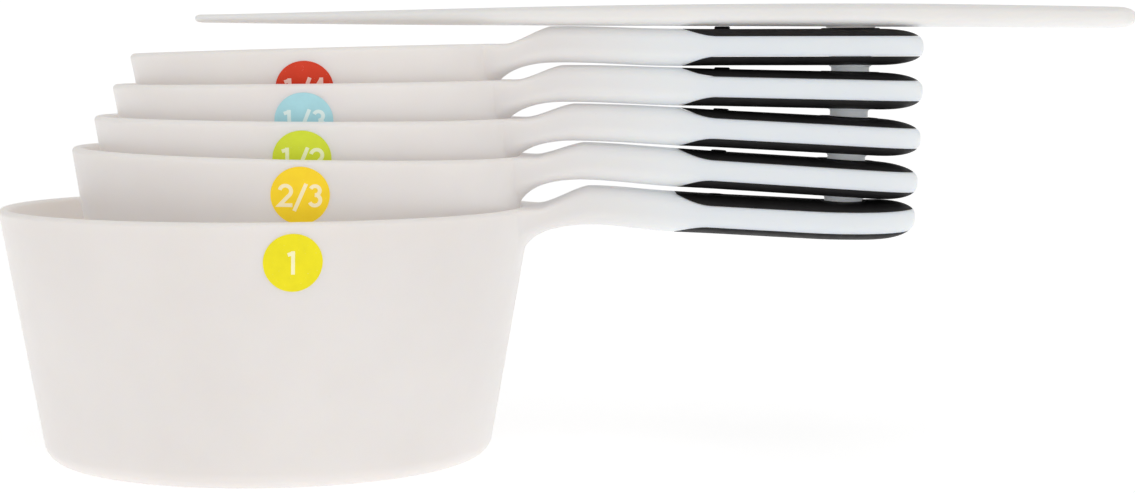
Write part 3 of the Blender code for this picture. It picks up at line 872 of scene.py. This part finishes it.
# ================================================================ materials
class Surface:
    """A Principled material that is built up from procedural nodes."""

    def __init__(self, name):
        self.mat = bpy.data.materials.new(name)
        self.mat.use_nodes = True
        self.nodes = self.mat.node_tree.nodes
        self.links = self.mat.node_tree.links
        self.shader = self.nodes["Principled BSDF"]
        self.coords = self.nodes.new("ShaderNodeTexCoord").outputs["Object"]

    def set(self, **values):
        for key, value in values.items():
            self.shader.inputs[key.replace("_", " ")].default_value = value

    def noise(self, scale, detail=3.0, roughness=0.5):
        node = self.nodes.new("ShaderNodeTexNoise")
        node.inputs["Scale"].default_value = scale
        node.inputs["Detail"].default_value = detail
        node.inputs["Roughness"].default_value = roughness
        self.links.new(self.coords, node.inputs["Vector"])
        return node.outputs["Fac"]

    def remap(self, value, low, high, to_low=0.0, to_high=1.0, smooth=False):
        node = self.nodes.new("ShaderNodeMapRange")
        if smooth:
            node.interpolation_type = "SMOOTHSTEP"
        for socket_name, number in (("From Min", low), ("From Max", high),
                                    ("To Min", to_low), ("To Max", to_high)):
            node.inputs[socket_name].default_value = number
        self.links.new(value, node.inputs["Value"])
        return node.outputs["Result"]

    def mix(self, factor, first, second):
        node = self.nodes.new("ShaderNodeMix")
        node.data_type = "RGBA"
        self.links.new(factor, node.inputs["Factor"])
        for socket_name, colour in (("A", first), ("B", second)):
            target = next(s for s in node.inputs if s.name == socket_name and s.type == "RGBA")
            if isinstance(colour, tuple):
                target.default_value = (*colour, 1.0)
            else:
                self.links.new(colour, target)
        return next(s for s in node.outputs if s.type == "RGBA")

    def along_x(self):
        node = self.nodes.new("ShaderNodeSeparateXYZ")
        self.links.new(self.coords, node.inputs["Vector"])
        return node.outputs["X"]

    def bump(self, value, strength, distance, under=None):
        node = self.nodes.new("ShaderNodeBump")
        node.inputs["Strength"].default_value = strength
        node.inputs["Distance"].default_value = distance
        self.links.new(value, node.inputs["Height"])
        if under:
            self.links.new(under, node.inputs["Normal"])
        return node.outputs["Normal"]

    def connect(self, output, input_name):
        self.links.new(output, self.shader.inputs[input_name])


def plastic(name, warm, light, cool_light):
    """Satin moulded plastic: faint clouding, flow specks and a very fine mould texture, with a painted
    cool light on the handles and a painted glow.
    """
    surface = Surface(name)
    clouds = surface.remap(surface.noise(32.0, 3.0, 0.55), 0.35, 0.65)
    colour = surface.mix(clouds, warm, light)
    # painted cool light: the plastic turns lighter and bluer towards the handle's end
    if cool_light:
        share = surface.remap(surface.along_x(), COOL_LIGHT_FROM * MM, COOL_LIGHT_TO * MM, smooth=True)
        colour = surface.mix(share, colour, cool_light)
    specks = surface.remap(surface.noise(1400.0, 2.0, 0.6), 0.66, 0.78, 0.0, 0.10)
    colour = surface.mix(specks, colour, tuple(channel * 0.82 for channel in warm))
    surface.connect(colour, "Base Color")
    # painted glow: the plastic's colour is also given off as light, at the glow strength set below
    surface.connect(colour, "Emission Color")
    surface.connect(surface.remap(surface.noise(260.0, 4.0, 0.6), 0.3, 0.7, 0.30, 0.42), "Roughness")
    wave = surface.bump(surface.noise(90.0, 2.0), 0.12, 0.00035)
    surface.connect(surface.bump(surface.noise(3200.0, 2.0), 0.05, 0.00004, wave), "Normal")
    surface.set(Specular_IOR_Level=0.42, Subsurface_Weight=0.7, Subsurface_Scale=0.004)
    surface.set(Emission_Strength=PAINTED_GLOW)
    surface.shader.inputs["Subsurface Radius"].default_value = (1.0, 0.8, 0.55)
    return surface.mat


def rubber(name):
    """Soft-touch grip: near black, with a fine grain that breaks up the gloss."""
    surface = Surface(name)
    clouds = surface.remap(surface.noise(220.0, 4.0, 0.6), 0.35, 0.65)
    surface.connect(surface.mix(clouds, RUBBER_DARK, RUBBER_LIGHT), "Base Color")
    surface.connect(surface.remap(surface.noise(520.0, 3.0), 0.3, 0.7, 0.50, 0.68), "Roughness")
    broad = surface.bump(surface.noise(700.0, 2.0), 0.10, 0.00012)
    surface.connect(surface.bump(surface.noise(5200.0, 3.0, 0.65), 0.28, 0.00005, broad), "Normal")
    surface.set(Specular_IOR_Level=0.22)
    return surface.mat


def ink(name, colour, shade=0.93):
    """Printed ink: slightly uneven cover with pinholes, flatter than the plastic under it, with a
    painted glow.
    """
    surface = Surface(name)
    cover = surface.remap(surface.noise(420.0, 4.0, 0.6), 0.3, 0.7)
    tone = surface.mix(cover, colour, tuple(channel * shade for channel in colour))
    pinholes = surface.remap(surface.noise(3600.0, 1.0), 0.72, 0.80, 0.0, 0.25)
    print_colour = surface.mix(pinholes, tone, IVORY)
    surface.connect(print_colour, "Base Color")
    # painted glow: the ink's colour is also given off as light, at the glow strength set below
    surface.connect(print_colour, "Emission Color")
    surface.connect(surface.remap(surface.noise(900.0, 2.0), 0.3, 0.7, 0.42, 0.55), "Roughness")
    surface.connect(surface.bump(surface.noise(2600.0, 2.0), 0.10, 0.00003), "Normal")
    surface.set(Specular_IOR_Level=0.22, Emission_Strength=PAINTED_GLOW)
    return surface.mat


def floor_paint():
    surface = Surface("floor_paint")
    tone = surface.remap(surface.noise(6.0, 2.0), 0.3, 0.7)
    surface.connect(surface.mix(tone, FLOOR_WHITE, tuple(0.985 * c for c in FLOOR_WHITE)), "Base Color")
    surface.set(Roughness=0.7, Specular_IOR_Level=0.2, Emission_Strength=FLOOR_GLOW)
    surface.set(Emission_Color=(1.0, 1.0, 1.0, 1.0))
    return surface.mat


# ================================================================ stage
TARGET = Vector((53.9, 0.0, 37.5)) * MM
CAMERA_PLACE = Vector((53.9, -432.0, 72.0)) * MM
SENSOR_WIDTH = 36.0
LENS = 76.1
FLOOR_SIZE = 6.0
SUN_HEADING = 16.0              # degrees from the camera's side, towards -X where negative
SUN_HEIGHT = 45.0               # degrees above the floor
SUN_SPREAD = 70.0               # apparent size in degrees, as of a large soft box
SUN_STRENGTH = 0.50
SUN_COLOUR = (1.0, 0.985, 0.96)
BACKDROP_STRENGTH = 1.05        # the white backdrop as the camera sees it
ROOM_STRENGTH = 0.60            # light that comes from all round


def aim(obj, target):
    obj.rotation_euler = (target - obj.location).to_track_quat("-Z", "Y").to_euler()


def studio_world():
    """Even white room whose backdrop looks brighter than the light that it gives."""
    world = bpy.data.worlds.new("studio")
    world.use_nodes = True
    nodes, links = world.node_tree.nodes, world.node_tree.links
    room = nodes["Background"]
    room.inputs["Strength"].default_value = ROOM_STRENGTH
    backdrop = nodes.new("ShaderNodeBackground")
    backdrop.inputs["Strength"].default_value = BACKDROP_STRENGTH
    for node in (room, backdrop):
        node.inputs["Color"].default_value = (1.0, 1.0, 1.0, 1.0)
    path = nodes.new("ShaderNodeLightPath")
    blend = nodes.new("ShaderNodeMixShader")
    links.new(path.outputs["Is Camera Ray"], blend.inputs["Fac"])
    links.new(room.outputs["Background"], blend.inputs[1])
    links.new(backdrop.outputs["Background"], blend.inputs[2])
    links.new(blend.outputs["Shader"], nodes["World Output"].inputs["Surface"])
    return world


def make_floor():
    half = FLOOR_SIZE / 2.0
    ground = CAD_BOX[0].z
    corners = [(-half, -half), (half, -half), (half, half), (-half, half)]
    verts = [(x, y, ground) for x, y in corners]
    floor = make_object("floor", verts, [(0, 1, 2, 3)], 1.0)
    floor.data.materials.append(floor_paint())


def make_light():
    data = bpy.data.lights.new("soft_box", "SUN")
    data.energy = SUN_STRENGTH
    data.angle = math.radians(SUN_SPREAD)
    data.color = SUN_COLOUR
    light = bpy.data.objects.new("soft_box", data)
    heading, height = math.radians(SUN_HEADING), math.radians(SUN_HEIGHT)
    level = math.cos(height)
    direction = Vector((level * math.sin(heading), -level * math.cos(heading), math.sin(height)))
    light.location = TARGET + direction
    aim(light, TARGET)
    bpy.context.scene.collection.objects.link(light)


def make_camera():
    data = bpy.data.cameras.new("camera")
    data.sensor_width = SENSOR_WIDTH
    data.lens = LENS
    data.clip_start = 0.01
    camera = bpy.data.objects.new("camera", data)
    camera.location = CAMERA_PLACE
    aim(camera, TARGET)
    bpy.context.scene.collection.objects.link(camera)
    return camera


def make_stage():
    scene = bpy.context.scene
    make_floor()
    scene.world = studio_world()
    make_light()
    scene.camera = make_camera()
    scene.view_settings.view_transform = "Standard"


# ================================================================ build
def build_cups(cups, white, black):
    for cup in cups:
        name, place = cup["name"], cup["handle_frame"]
        colour = INKS[cup["slot"]]
        paint = ink(cup["slot"] + "_look", colour)
        pale = tuple(lerp(own, figure, FIGURE_COVER) for own, figure in zip(colour, FIGURE))
        pale_paint = ink(cup["slot"] + "_figure_look", pale, 0.96)
        show(moulding(cup), name, name, place, white)
        show(top_grip(cup), name + "_top_grip", name, place, black)
        show(bottom_grip(cup), name + "_bottom_grip", name, place, black)
        show(dot_disc(cup), name + "_size_dot", name, cup["rim_frame"], paint)
        show(numeral(cup), None, name, cup["rim_frame"], pale_paint)


def build_leveler(top_cup, white):
    lift = HALF_HEIGHT + COLLAR_HEIGHT + LEVELER_CLEARANCE
    snap = top_cup["handle_frame"] @ Vector((0.0, 0.0, lift))
    place = frame_at(snap.x, snap.z, math.radians(LEVELER_TILT))
    stud = leveler_stud(LEVELER_CLEARANCE + STUD_ENTRY)
    show(leveler_blade(), "leveler_blade", "leveler_blade", place, white)
    show(stud, "leveler_stud", "leveler_stud", place, white)


def build():
    white = plastic("white_plastic_look", IVORY, IVORY_LIGHT, PAINTED_COOL_LIGHT)
    leveler_white = plastic("leveler_plastic_look", LEVELER_WARM, LEVELER_LIGHT, None)
    black = rubber("soft_grip_look")
    cups = [dict(cup) for cup in CUPS]
    add_frames(cups)
    build_cups(cups, white, black)
    build_leveler(cups[-1], leveler_white)


build()
make_stage()
